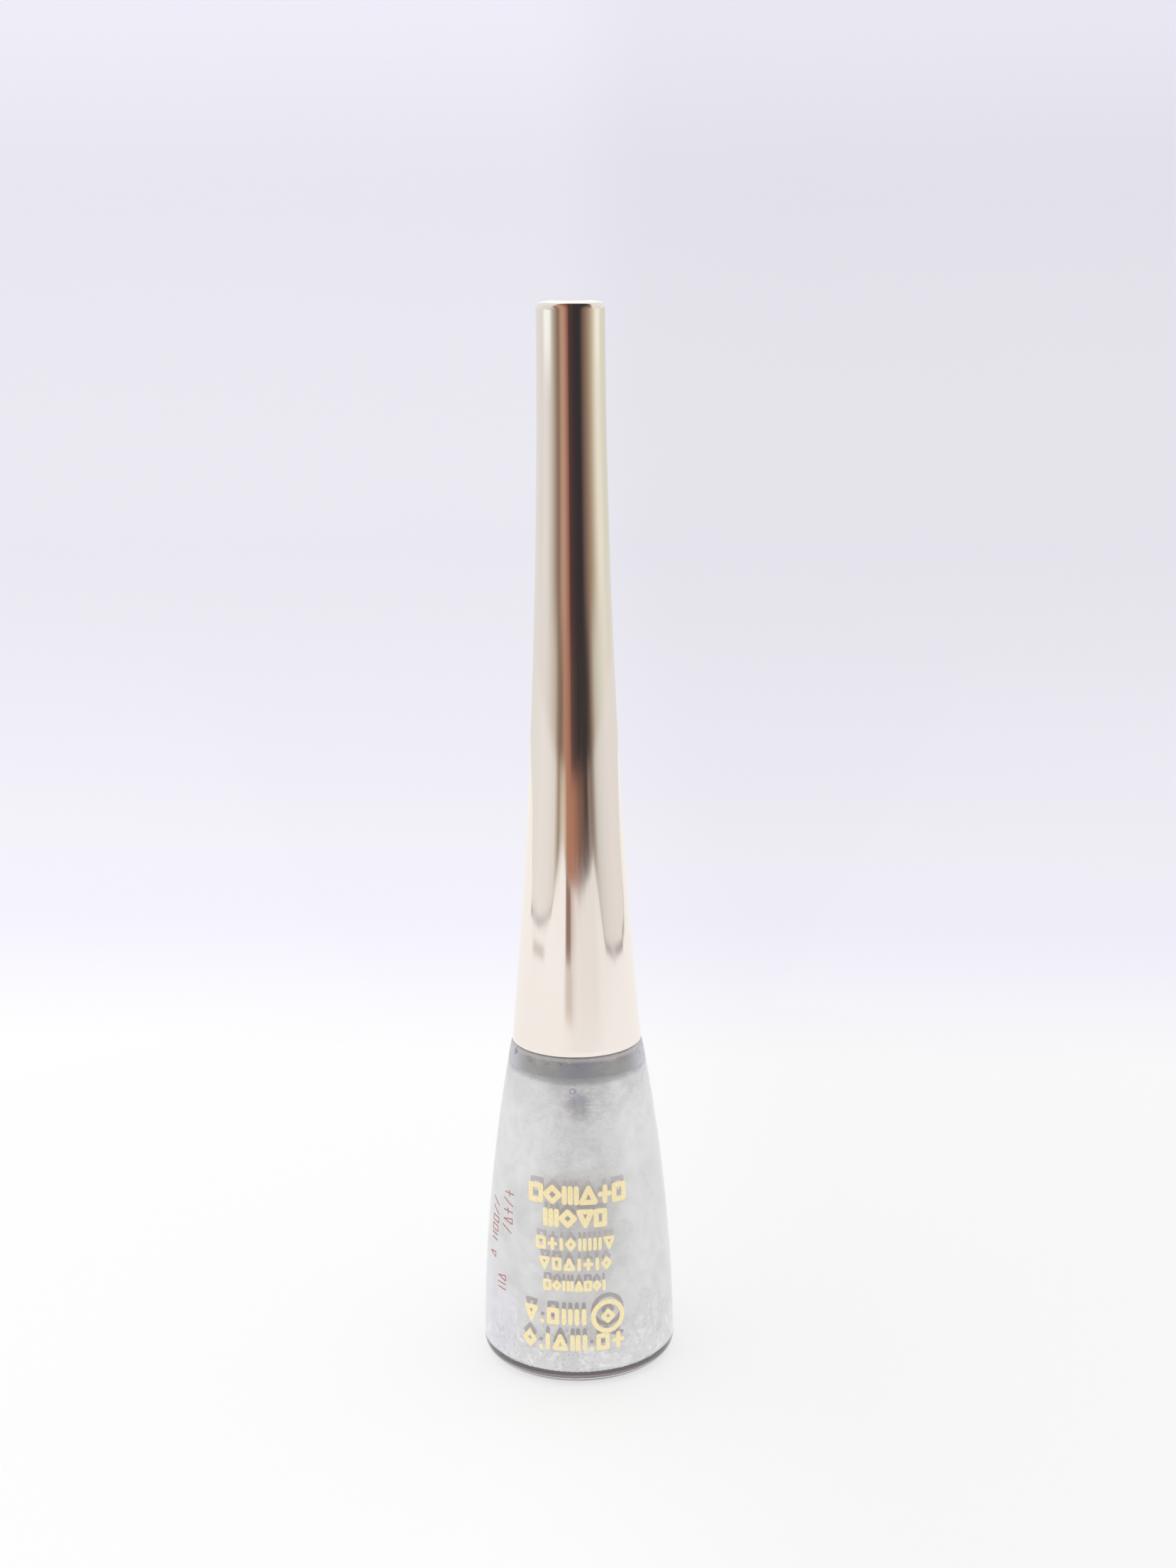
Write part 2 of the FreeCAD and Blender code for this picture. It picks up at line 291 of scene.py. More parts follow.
def glitter_liquid():
    """Silver liner: pearly streaks with fine flakes, coarser settled ones near the floor; painted shade
    darkens it at the front and in a soft spot, and it glows a little as painted light.
    """
    material, g = new_material("glitter_liquid")
    place = g.place()
    x, y, z = g.split(place)
    turn = g.bearing(x, y)
    distance = g.from_axis(x, y)
    streak = g.noise(g.stretched(place, (260, 260, 420)), 1.0, 5.0, 0.6, 1.2)
    flake = g.cells(place, 9000.0)
    large = g.cells(place, 4200.0)
    settled = g.smooth(z, 0.011, 0.0035)
    body = g.mix(g.smooth(streak, 0.34, 0.68), (0.925, 0.925, 0.928), (1.0, 1.0, 0.995))
    shade = g.times(g.plus(g.split(flake["Color"])[0], g.split(large["Color"])[1]), 0.5)
    speck = g.ramp(
        shade,
        (0.0, (0.40, 0.39, 0.43)),
        (0.30, (0.84, 0.84, 0.86)),
        (0.80, (0.98, 0.98, 0.98)),
        (1.0, (1.0, 1.0, 1.0)),
    )
    colour = g.mix(g.scaled(settled, 0.22, 0.6), body, speck)
    # painted shade: the fill darkest at the front, a little darker at the back, lightest at the sides
    painted_front_shade = by_bearing(
        g, turn,
        (-130, (0.96, 0.96, 0.96)),
        (-85, (1.0, 0.998, 1.0)),
        (-52, (1.0, 1.0, 0.998)),
        (-26, (0.985, 0.985, 0.985)),
        (-10, (0.955, 0.955, 0.955)),
        (8, (0.945, 0.945, 0.945)),
        (26, (0.965, 0.967, 0.963)),
        (52, (0.985, 0.987, 0.983)),
        (85, (1.0, 0.998, 1.0)),
        (130, (0.96, 0.96, 0.96)),
    )
    colour = g.mix(1.0, colour, painted_front_shade, "MULTIPLY")
    film = g.noise(g.stretched(place, (700, 700, 1600)), 1.0, 4.0, 0.6, 2.0)
    upper = g.between(z, 0.0300, 0.0326, 0.0005)
    thin = g.times(upper, g.smooth(film, 0.56, 0.46))
    colour = g.mix(g.times(thin, 0.35), colour, (0.80, 0.80, 0.81))
    thick = g.times(upper, g.smooth(film, 0.55, 0.63))
    colour = g.mix(g.times(thick, 0.9), colour, (1.0, 1.0, 1.0))
    # painted shade: a soft dark spot on the fill near its top, bluish in its upper part
    across = g.times(g.minus(turn, 1.0), 1 / 14.0)
    along = g.times(g.minus(z, 0.0308), 1 / 0.0020)
    reach = g.math("SQRT", g.plus(g.math("POWER", across, 2.0), g.math("POWER", along, 2.0)))
    reach = g.plus(reach, g.scaled(film, -0.26, 0.26))
    spot_shade = g.smooth(reach, 1.15, 0.25)
    spot_tone = g.mix(g.smooth(along, -0.3, 0.6), (0.50, 0.50, 0.50), (0.47, 0.47, 0.57))
    colour = g.mix(g.times(spot_shade, 0.92), colour, spot_tone)
    aside = g.times(g.minus(turn, -4.5), 1 / 2.6)
    above = g.times(g.minus(z, 0.03235), 1 / 0.00026)
    rim = g.math("SQRT", g.plus(g.math("POWER", aside, 2.0), g.math("POWER", above, 2.0)))
    colour = g.mix(g.times(g.between(rim, 0.75, 1.25, 0.2), 0.7), colour, (0.38, 0.38, 0.40))
    # painted light: the fill glows a little, more at its sides and low down and bluish low on the left,
    # with a painted sheen of clouds, veins and glints; its underside glows too, more towards the middle
    underside = g.smooth(z, 0.00140, 0.00120)
    inner = g.scaled(g.smooth(distance, 0.0086, 0.0080), 0.05, 0.12)
    side = g.between(g.math("ABSOLUTE", g.minus(turn, 5.0)), 28.0, 95.0, 12.0)
    low = g.smooth(z, 0.016, 0.009)
    lift = g.math("MAXIMUM", side, low)
    cloud = g.noise(g.stretched(place, (330, 330, 230)), 1.0, 5.0, 0.62, 1.6)
    vein = g.noise(g.stretched(place, (420, 420, 900)), 1.0, 3.0, 0.5, 2.4)
    vein = g.times(g.between(vein, 0.53, 0.57, 0.015), g.smooth(z, 0.019, 0.027))
    glitter = g.times(g.smooth(g.split(g.cells(place, 2700.0)["Color"])[2], 0.72, 0.95), settled)
    painted_sheen = g.plus(g.scaled(g.smooth(cloud, 0.38, 0.64), 0.0, 0.066), g.times(vein, 0.075))
    painted_sheen = g.plus(painted_sheen, g.times(glitter, 0.12))
    lit = g.mix(lift, (0.004, 0.004, 0.004), (0.078, 0.078, 0.080))
    blue = g.times(g.smooth(turn, -38.0, -62.0), g.smooth(z, 0.012, 0.007))
    lit = g.mix(blue, lit, (0.088, 0.085, 0.122))
    lit = g.mix(1.0, lit, g.grey(painted_sheen), "ADD")
    lit = g.mix(underside, lit, g.ramp(inner, (0.0, (0, 0, 0)), (1.0, (1.0, 0.985, 0.985))))
    tilt = g.bump(g.split(flake["Color"])[2], g.scaled(settled, 0.10, 0.35), 0.00008)
    g.surface(
        Base_Color=colour,
        Metallic=0.15,
        Roughness=0.42,
        Emission_Color=lit,
        Emission_Strength=1.0,
        Normal=tilt,
    )
    return material


def milky_plastic():
    material, g = new_material("milky_plastic")
    haze = g.noise(g.place(), 900.0, 4.0)
    g.surface(
        Base_Color=g.mix(haze, (0.86, 0.86, 0.83), (0.93, 0.93, 0.90)),
        Roughness=g.scaled(haze, 0.32, 0.45),
        Subsurface_Weight=0.4,
        Subsurface_Radius=(0.001, 0.001, 0.001),
        Normal=g.bump(haze, 0.15, 0.00003),
    )
    return material


def label_film():
    """Thin white film on the paper; it glows a little as painted light, in rings: brightest a little
    past halfway out, dimmest at the edge.
    """
    material, g = new_material("label_film")
    place = g.place()
    fibre = g.noise(place, 2500.0, 5.0)
    x, y, _ = g.split(place)
    distance = g.from_axis(x, y)
    # painted light: the film's glow, in rings about its middle
    painted_glow = g.ramp(
        g.math("DIVIDE", distance, 0.007),
        (0.0, (0.078, 0.066, 0.071)),
        (0.57, (0.078, 0.066, 0.071)),
        (0.62, (0.120, 0.104, 0.110)),
        (0.68, (0.110, 0.096, 0.101)),
        (0.73, (0.045, 0.039, 0.042)),
        (1.0, (0.045, 0.040, 0.043)),
    )
    g.surface(
        Base_Color=g.mix(fibre, (0.84, 0.81, 0.80), (0.90, 0.87, 0.86)),
        Roughness=g.scaled(fibre, 0.35, 0.5),
        Coat_Weight=0.4,
        Emission_Color=painted_glow,
        Emission_Strength=1.0,
        Normal=g.bump(fibre, 0.2, 0.00002),
    )
    return material


def white_plastic():
    material, g = new_material("white_plastic")
    grain = g.noise(g.place(), 1600.0, 4.0)
    g.surface(
        Base_Color=g.mix(grain, (0.86, 0.86, 0.84), (0.92, 0.92, 0.90)),
        Roughness=g.scaled(grain, 0.38, 0.52),
        Normal=g.bump(grain, 0.15, 0.00003),
    )
    return material


def washer_foam():
    material, g = new_material("washer_foam")
    cell = g.cells(g.place(), 9000.0)["Distance"]
    g.surface(
        Base_Color=g.mix(cell, (0.92, 0.92, 0.91), (0.80, 0.80, 0.79)),
        Roughness=0.8,
        Normal=g.bump(cell, 0.5, 0.00005),
    )
    return material


def stem_plastic():
    """Satin stem, wet with glitter below the wiper."""
    material, g = new_material("stem_plastic")
    place = g.place()
    height = g.split(place)[2]
    film = g.noise(g.stretched(place, (1500, 1500, 300)), 1.0, 4.0)
    wet = g.times(g.smooth(height, 0.034, 0.028), g.smooth(film, 0.38, 0.55))
    flake = g.cells(place, 12000.0)
    silver = g.ramp(g.split(flake["Color"])[0], (0.0, (0.35, 0.35, 0.37)), (1.0, (0.85, 0.85, 0.85)))
    g.surface(
        Base_Color=g.mix(wet, (0.88, 0.88, 0.86), silver),
        Metallic=g.scaled(wet, 0.0, 0.5),
        Roughness=g.scaled(wet, 0.42, 0.25),
        Normal=g.bump(film, 0.2, 0.00004),
    )
    return material


def bristle():
    material, g = new_material("bristle")
    place = g.place()
    height = g.split(place)[2]
    along = g.noise(g.stretched(place, (4000, 4000, 300)), 1.0, 3.0)
    dark = g.mix(along, (0.06, 0.045, 0.04), (0.16, 0.12, 0.10))
    loaded = g.times(g.smooth(height, 0.013, 0.007), g.smooth(along, 0.45, 0.6))
    g.surface(
        Base_Color=g.mix(loaded, dark, (0.62, 0.62, 0.62)),
        Roughness=g.scaled(along, 0.28, 0.45),
        Metallic=g.scaled(loaded, 0.0, 0.4),
    )
    return material


def staple_brass():
    material, g = new_material("staple_brass")
    drawn = g.noise(g.stretched(g.place(), (800, 6000, 6000)), 1.0, 3.0)
    g.surface(
        Base_Color=g.mix(drawn, (0.72, 0.55, 0.28), (0.86, 0.70, 0.40)),
        Metallic=1.0,
        Roughness=g.scaled(drawn, 0.2, 0.4),
    )
    return material


def gold_ink():
    """Hot-foil print: pale gold, mottled by a fine grain."""
    material, g = new_material("gold_ink")
    grain = g.noise(g.place(), 5000.0, 4.0)
    g.surface(
        Base_Color=g.mix(g.smooth(grain, 0.35, 0.65), (0.93, 0.78, 0.42), (0.98, 0.87, 0.56)),
        Metallic=0.35,
        Roughness=g.scaled(grain, 0.3, 0.5),
    )
    return material


def ink_shade():
    """The print's reflection on the liquid behind the wall."""
    material, g = new_material("ink_shade")
    place = g.place()
    grain = g.noise(place, 3000.0, 3.0)
    height = g.split(place)[2]
    near = g.mix(grain, (0.66, 0.61, 0.64), (0.76, 0.71, 0.74))
    far = g.mix(grain, (0.82, 0.77, 0.80), (0.90, 0.86, 0.88))
    g.surface(
        Base_Color=g.mix(g.smooth(height, 0.009, 0.018), near, far),
        Roughness=0.6,
    )
    return material


def code_ink():
    material, g = new_material("code_ink")
    grain = g.noise(g.place(), 4000.0, 3.0)
    g.surface(
        Base_Color=g.mix(grain, (0.40, 0.15, 0.13), (0.52, 0.24, 0.21)),
        Roughness=0.5,
    )
    return material


# ---------------------------------------------------------------- mesh helpers


def new_piece(name, vertices, faces, material, body, smooth=True, crease=35):
    mesh = bpy.data.meshes.new(name)
    mesh.from_pydata([Vector(v) for v in vertices], [], faces)
    mesh.validate()
    work = bmesh.new()
    work.from_mesh(mesh)
    bmesh.ops.remove_doubles(work, verts=work.verts, dist=1e-7)
    bmesh.ops.recalc_face_normals(work, faces=work.faces)
    work.to_mesh(mesh)
    work.free()
    for polygon in mesh.polygons:
        polygon.use_smooth = smooth
    if smooth:
        mesh.set_sharp_from_angle(angle=math.radians(crease))
    mesh.materials.append(material)
    piece = bpy.data.objects.new(name, mesh)
    bpy.context.collection.objects.link(piece)
    if body:
        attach(piece, body)
    return piece


def arc_points(start, end, radius, steps):
    """Points of the arc from start to end that bulges to the right of the way along it."""
    (x0, z0), (x1, z1) = start, end
    half = math.hypot(x1 - x0, z1 - z0) / 2
    away = math.sqrt(abs(radius) ** 2 - half**2)
    side = 1 if radius > 0 else -1
    nx, nz = (z1 - z0) / (2 * half) * side, -(x1 - x0) / (2 * half) * side
    cx, cz = (x0 + x1) / 2 - nx * away, (z0 + z1) / 2 - nz * away
    a0 = math.atan2(z0 - cz, x0 - cx)
    a1 = math.atan2(z1 - cz, x1 - cx)
    a1 += TAU * round((a0 - a1) / TAU)
    return [
        (cx + abs(radius) * math.cos(a), cz + abs(radius) * math.sin(a))
        for a in (a0 + (a1 - a0) * i / steps for i in range(steps + 1))
    ]


def lathe(outline, steps):
    """Vertices and faces of a closed (radius, height) outline in mm, turned about Z."""
    vertices, faces = [], []
    count = len(outline)
    for i in range(steps):
        turn = TAU * i / steps
        for r, z in outline:
            vertices.append((r * MM * math.sin(turn), -r * MM * math.cos(turn), z * MM))
    for i in range(steps):
        following = (i + 1) % steps
        for j in range(count - 1):
            a, b = i * count + j, following * count + j
            faces.append((a, b, b + 1, a + 1))
    return vertices, faces


# ---------------------------------------------------------------- the walls' curves

WALL_RADIUS, WALL_SHOULDER, WALL_TOP = 10.60, 7.08, 36.36
WALL_CURVE = 204.0
CAVITY_RADIUS, CAVITY_TOP = 8.68, 5.60
CAVITY_FLOOR, CAVITY_ROOF = 1.20, 33.50
CAVITY_CURVE = 202.0


def curve_radius(height, low, high, curve):
    """Radius at a height of the arc between two (radius, height) points, bulging outward."""
    (x0, z0), (x1, z1) = low, high
    half = math.hypot(x1 - x0, z1 - z0) / 2
    away = math.sqrt(curve**2 - half**2)
    cx = (x0 + x1) / 2 - (z1 - z0) / (2 * half) * away
    cz = (z0 + z1) / 2 + (x1 - x0) / (2 * half) * away
    return cx + math.sqrt(curve**2 - (height - cz) ** 2)


def wall(height):
    return curve_radius(height, (WALL_RADIUS, 0), (WALL_SHOULDER, WALL_TOP), WALL_CURVE)


def cavity(height):
    return curve_radius(height, (CAVITY_RADIUS, CAVITY_FLOOR), (CAVITY_TOP, CAVITY_ROOF), CAVITY_CURVE)


# ---------------------------------------------------------------- pieces

LIQUID_OVERLAP = 0.03
FILL_LEVEL = 32.60
NECK_BORE = 2.90
FILL_CORNER = 0.50
FILL_SHOULDER = 0.90
WAND_WAY, WAND_WAY_FLOOR = 1.32, 2.90


def fill_surface(height):
    return cavity(height) + LIQUID_OVERLAP


def make_liquid():
    """The fill with the film that clings above it, grown into the wall by a hair: no air shows."""
    out = LIQUID_OVERLAP
    floor = CAVITY_FLOOR - out
    outline = [(0, floor)]
    corner = CAVITY_RADIUS + out - FILL_CORNER
    foot, top = floor + FILL_CORNER, CAVITY_ROOF + out - FILL_SHOULDER
    for i in range(13):
        a = -math.pi / 2 + math.pi / 2 * i / 12
        outline.append((corner + FILL_CORNER * math.cos(a), foot + FILL_CORNER * math.sin(a)))
    steps = 60
    for i in range(1, steps + 1):
        z = foot + (top - foot) * i / steps
        outline.append((cavity(z) + out, z))
    rim = outline[-1][0] - FILL_SHOULDER
    for i in range(1, 9):
        a = math.pi / 2 * i / 8
        outline.append((rim + FILL_SHOULDER * math.cos(a), top + FILL_SHOULDER * math.sin(a)))
    outline += [
        (NECK_BORE, top + FILL_SHOULDER),
        (NECK_BORE - 0.2, FILL_LEVEL),
        (WAND_WAY, FILL_LEVEL),
        (WAND_WAY, WAND_WAY_FLOOR),
        (0, WAND_WAY_FLOOR),
    ]
    vertices, faces = lathe(outline, 180)
    piece = new_piece("liquid_fill", vertices, faces, glitter_liquid(), "bottle_body")
    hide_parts("liquid")


CAP_FOOT, CAP_FOOT_RADIUS, CAP_FOOT_ROUND = 36.42, 7.03, 0.15
CAP_MIDDLE, CAP_MIDDLE_RADIUS = 75.65, 4.397
CAP_SIDE_TOP, CAP_SIDE_TOP_RADIUS = 115.05, 3.56
CAP_LOWER_CURVE, CAP_UPPER_CURVE = 806.0, 919.0
CAP_HEIGHT, CAP_FLAT_RADIUS, CAP_TOP_ROUND = 115.28, 2.00, 0.80
LINER_SEAT, LINER_SEAT_TOP = 5.40, 47.60
BOSS_SEAT, BOSS_SEAT_TOP = 4.30, 58.00
CORE_RADIUS, CORE_TIP_RADIUS, CORE_TIP = 3.70, 2.50, 113.60
KEYS, KEY_SLOT_WIDTH, KEY_SLOT_RADIUS = 6, 0.90, 5.75
KEY_FOOT, KEY_TOP = 37.40, 44.00


def rounded_corner(before, corner, after, radius, steps):
    """The points of a rounded corner between two straight runs."""
    corner = Vector(corner)
    a = (Vector(before) - corner).normalized()
    b = (Vector(after) - corner).normalized()
    half = math.acos(max(-1.0, min(1.0, a.dot(b)))) / 2
    centre = corner + (a + b).normalized() * (radius / math.sin(half))
    start = corner + a * (radius / math.tan(half)) - centre
    end = corner + b * (radius / math.tan(half)) - centre
    first = math.atan2(start.y, start.x)
    sweep = (math.atan2(end.y, end.x) - first + math.pi) % TAU - math.pi
    turns = [first + sweep * i / steps for i in range(steps + 1)]
    return [(centre.x + radius * math.cos(t), centre.y + radius * math.sin(t)) for t in turns]


def make_cap():
    """The shell as one fine skin, so that its mirror finish shows no facets."""
    foot, middle = (CAP_FOOT_RADIUS, CAP_FOOT), (CAP_MIDDLE_RADIUS, CAP_MIDDLE)
    side_top, flat = (CAP_SIDE_TOP_RADIUS, CAP_SIDE_TOP), (CAP_FLAT_RADIUS, CAP_HEIGHT)
    peak = (0, CAP_HEIGHT)
    lower = arc_points(foot, middle, -CAP_LOWER_CURVE, 60)
    upper = arc_points(middle, side_top, -CAP_UPPER_CURVE, 60)
    outside = rounded_corner((LINER_SEAT, CAP_FOOT), foot, lower[1], CAP_FOOT_ROUND, 6)
    crown = rounded_corner(upper[-2], side_top, flat, CAP_TOP_ROUND, 14)
    outside += [p for p in lower[1:] + upper[1:] if p[1] < crown[0][1] - 0.05]
    outside += crown
    outside += rounded_corner(side_top, flat, peak, CAP_TOP_ROUND, 5)
    outside += [(1.2, CAP_HEIGHT), (0.5, CAP_HEIGHT), peak]

    def away(turn, slot):
        """How far a turn is from the middle of a key slot, in degrees."""
        return abs((turn - slot + 180) % 360 - 180)

    slots = [360 * k / KEYS for k in range(KEYS)]
    half_slot = math.degrees(KEY_SLOT_WIDTH / 2 / KEY_SLOT_RADIUS)
    edges = [side * (half_slot + edge) for side in (-1, 1) for edge in (-0.01, 0.01)]
    turns = [360 * i / 300 for i in range(300)]
    for slot in slots:
        turns = [turn for turn in turns if away(turn, slot) > half_slot + 0.3]
        turns += [(slot + edge) % 360 for edge in edges]
    turns.sort()
    vertices, faces = [], []
    for turn in turns:
        in_slot = any(away(turn, slot) < half_slot for slot in slots)
        key_seat = KEY_SLOT_RADIUS if in_slot else LINER_SEAT
        inside = [
            (0, CORE_TIP),
            (CORE_TIP_RADIUS, CORE_TIP),
            (CORE_RADIUS, BOSS_SEAT_TOP),
            (BOSS_SEAT, BOSS_SEAT_TOP),
            (BOSS_SEAT, LINER_SEAT_TOP),
            (LINER_SEAT, LINER_SEAT_TOP),
            (LINER_SEAT, KEY_TOP),
            (key_seat, KEY_TOP),
            (key_seat, KEY_FOOT),
            (LINER_SEAT, KEY_FOOT),
            (LINER_SEAT, CAP_FOOT),
        ]
        outline = outside + inside
        a = math.radians(turn)
        for r, z in outline:
            vertices.append((r * MM * math.sin(a), -r * MM * math.cos(a), z * MM))
    count = len(outline)
    for i in range(len(turns)):
        following = (i + 1) % len(turns)
        for j in range(count):
            if j == len(outside) - 1:
                continue
            k = (j + 1) % count
            faces.append((i * count + j, following * count + j, following * count + k, i * count + k))
    material = metallised_plastic()
    piece = new_piece("cap_mirror_shell", vertices, faces, material, "cap", crease=40)
    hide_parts("cap_shell")


BRISTLES = 150
BRISTLE_RADIUS = 0.045
TUFT_ROOT, STEM_TIP, TUFT_BELLY, TUFT_TIP = 15.70, 14.00, 11.60, 3.90
ROOT_RADIUS, BELLY_RADIUS, POINT_RADIUS = 0.60, 0.73, 0.03
SPIRAL_TURN = 2.39996


def make_bristles():
    """Separate tapered filaments that swell to a belly and close to a point."""
    draw = random.Random(7)
    vertices, faces = [], []
    sides, rings = 6, 14
    for n in range(BRISTLES):
        share = math.sqrt((n + 0.5) / BRISTLES)
        turn = n * SPIRAL_TURN
        tip = TUFT_TIP + (1 - share) * 0.3 + share * draw.uniform(0.4, 3.2)
        base = len(vertices)
        for k in range(rings + 1):
            z = TUFT_ROOT + (tip - TUFT_ROOT) * k / rings
            if z > STEM_TIP:
                spread = ROOT_RADIUS
            elif z > TUFT_BELLY:
                t = (STEM_TIP - z) / (STEM_TIP - TUFT_BELLY)
                spread = ROOT_RADIUS + (BELLY_RADIUS - ROOT_RADIUS) * math.sin(math.pi / 2 * t)
            else:
                t = (TUFT_BELLY - z) / (TUFT_BELLY - TUFT_TIP)
                spread = BELLY_RADIUS * math.sqrt(max(0.0, 1 - t**1.8)) + POINT_RADIUS * t
            thick = BRISTLE_RADIUS * (1 - 0.55 * (k / rings) ** 2)
            x, y = share * spread * math.cos(turn), share * spread * math.sin(turn)
            for s in range(sides):
                a = TAU * s / sides
                vertices.append(((x + thick * math.cos(a)) * MM, (y + thick * math.sin(a)) * MM, z * MM))
        for k in range(rings):
            for s in range(sides):
                a, b = base + k * sides + s, base + k * sides + (s + 1) % sides
                faces.append((a, b, b + sides, a + sides))
        faces.append(tuple(base + s for s in range(sides)))
        faces.append(tuple(base + rings * sides + s for s in range(sides)))
    piece = new_piece("brush_bristles", vertices, faces, bristle(), "wand")
    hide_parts("brush")


# ---------------------------------------------------------------- the print

PRINT_LIFT = 0.025
PRINT_THICK = 0.015

# Plain shapes that stand in for the print, as strokes between corners in a unit square.
SHAPES = {
    "triangle": (((0, 0), (1, 0), (0.5, 1), (0, 0)),),
    "peak": (((0, 1), (1, 1), (0.5, 0), (0, 1)),),
    "diamond": (((0.5, 0), (1, 0.5), (0.5, 1), (0, 0.5), (0.5, 0)),),
    "square": (((0, 0), (1, 0), (1, 1), (0, 1), (0, 0)),),
    "bars": (((0, 0), (0, 1)), ((0.5, 0), (0.5, 1)), ((1, 0), (1, 1))),
    "pair": (((0, 0), (0, 1)), ((1, 0), (1, 1))),
    "bar": (((0.5, 0), (0.5, 1)),),
    "cross": (((0, 0.5), (1, 0.5)), ((0.5, 0), (0.5, 1))),
    "slope": (((0, 0), (1, 1)),),
    "dot": (((0.5, 0), (0.52, 0)),),
}


class Plates:
    """Thin plates bent round the wall; x runs along the wall and z up it, both in mm."""

    def __init__(self, radius_at, spread=1.0):
        self.radius_at = radius_at
        self.spread = spread
        self.vertices, self.faces = [], []

    def plate(self, loop):
        """One convex plate."""
        base, count = len(self.vertices), len(loop)
        for layer in (PRINT_LIFT, PRINT_LIFT - PRINT_THICK):
            for x, z in loop:
                a = x / wall(z) * self.spread
                r = (self.radius_at(z) + layer) * MM
                self.vertices.append((r * math.sin(a), -r * math.cos(a), z * MM))
        self.faces.append(tuple(range(base, base + count)))
        self.faces.append(tuple(range(base + 2 * count - 1, base + count - 1, -1)))
        for i in range(count):
            j = (i + 1) % count
            self.faces.append((base + i, base + count + i, base + count + j, base + j))

    def disc(self, x, z, radius):
        steps = 14
        turns = [TAU * i / steps for i in range(steps)]
        self.plate([(x + radius * math.cos(t), z + radius * math.sin(t)) for t in turns])

    def stroke(self, start, end, width):
        """A straight stroke with round ends, in short plates so that it follows the wall."""
        (x0, z0), (x1, z1) = start, end
        length = math.hypot(x1 - x0, z1 - z0)
        if length < 1e-6:
            self.disc(x0, z0, width / 2)
            return
        nx, nz = -(z1 - z0) / length * width / 2, (x1 - x0) / length * width / 2
        parts = max(1, math.ceil(abs(x1 - x0) / 0.35))
        for i in range(parts):
            ax, az = x0 + (x1 - x0) * i / parts, z0 + (z1 - z0) * i / parts
            bx, bz = x0 + (x1 - x0) * (i + 1) / parts, z0 + (z1 - z0) * (i + 1) / parts
            self.plate([(ax + nx, az + nz), (ax - nx, az - nz), (bx - nx, bz - nz), (bx + nx, bz + nz)])
        self.disc(x0, z0, width / 2)
        self.disc(x1, z1, width / 2)

    def shape(self, name, x, z, across, tall, width, upright=True):
        """A shape whose strokes stay inside across by tall, centred on x and z."""
        wide, high = across - width, tall - width
        for run in SHAPES[name]:
            for (u0, v0), (u1, v1) in zip(run, run[1:]):
                start = (x + (u0 - 0.5) * wide, z + (v0 - 0.5) * high)
                end = (x + (u1 - 0.5) * wide, z + (v1 - 0.5) * high)
                if not upright:
                    start = (x - (v0 - 0.5) * high, z + (u0 - 0.5) * wide)
                    end = (x - (v1 - 0.5) * high, z + (u1 - 0.5) * wide)
                self.stroke(start, end, width)

    def ring(self, x, z, outer, inner):
        steps = 48
        for i in range(steps):
            a, b = TAU * i / steps, TAU * (i + 1) / steps
            self.plate([
                (x + outer * math.cos(a), z + outer * math.sin(a)),
                (x + outer * math.cos(b), z + outer * math.sin(b)),
                (x + inner * math.cos(b), z + inner * math.sin(b)),
                (x + inner * math.cos(a), z + inner * math.sin(a)),
            ])

    def finish(self, name, material, slot):
        return new_piece(name, self.vertices, self.faces, material, "bottle_body", smooth=False)


# Each row: middle height, mark height, stroke, first and last bearing, and each mark's shape
# and width.
PRINT_ROWS = (
    (21.72, 2.00, 0.46, -34.5, 33.0, (
        ("square", 1.7), ("diamond", 2.0), ("bars", 1.75), ("triangle", 1.95), ("cross", 1.5),
        ("square", 1.6))),
    (19.18, 1.95, 0.46, -23.0, 18.5, (
        ("bars", 1.7), ("diamond", 1.9), ("peak", 1.8), ("square", 1.4))),
    (16.32, 1.35, 0.29, -27.5, 23.0, (
        ("square", 1.1), ("cross", 1.0), ("bar", 0.4), ("diamond", 1.1), ("pair", 0.8),
        ("bars", 1.4), ("peak", 1.2))),
    (14.08, 1.35, 0.29, -25.0, 20.5, (
        ("peak", 1.2), ("square", 1.0), ("triangle", 1.2), ("bar", 0.4), ("cross", 1.0),
        ("bar", 0.4), ("diamond", 1.1))),
    (11.66, 1.15, 0.27, -22.0, 16.5, (
        ("square", 0.9), ("diamond", 1.0), ("pair", 0.75), ("bar", 0.3), ("triangle", 0.9),
        ("square", 0.8), ("diamond", 0.9), ("bar", 0.4))),
    (8.15, 1.80, 0.40, -34.0, 4.0, (
        ("peak", 1.5), ("dot", 0.4), ("square", 1.3), ("bars", 1.8), ("bar", 0.4))),
    (5.18, 1.80, 0.40, -35.0, 27.5, (
        ("diamond", 1.6), ("dot", 0.4), ("bar", 0.5), ("triangle", 1.6), ("pair", 1.0),
        ("bar", 0.4), ("dot", 0.4), ("square", 1.4), ("cross", 1.4))),
)
RING_BEARING, RING_HEIGHT, RING_OUTER, RING_INNER = 17.5, 8.05, 1.85, 1.42
RING_MARK, RING_MARK_STROKE = 1.5, 0.36
RISE_ENDS = 33.0


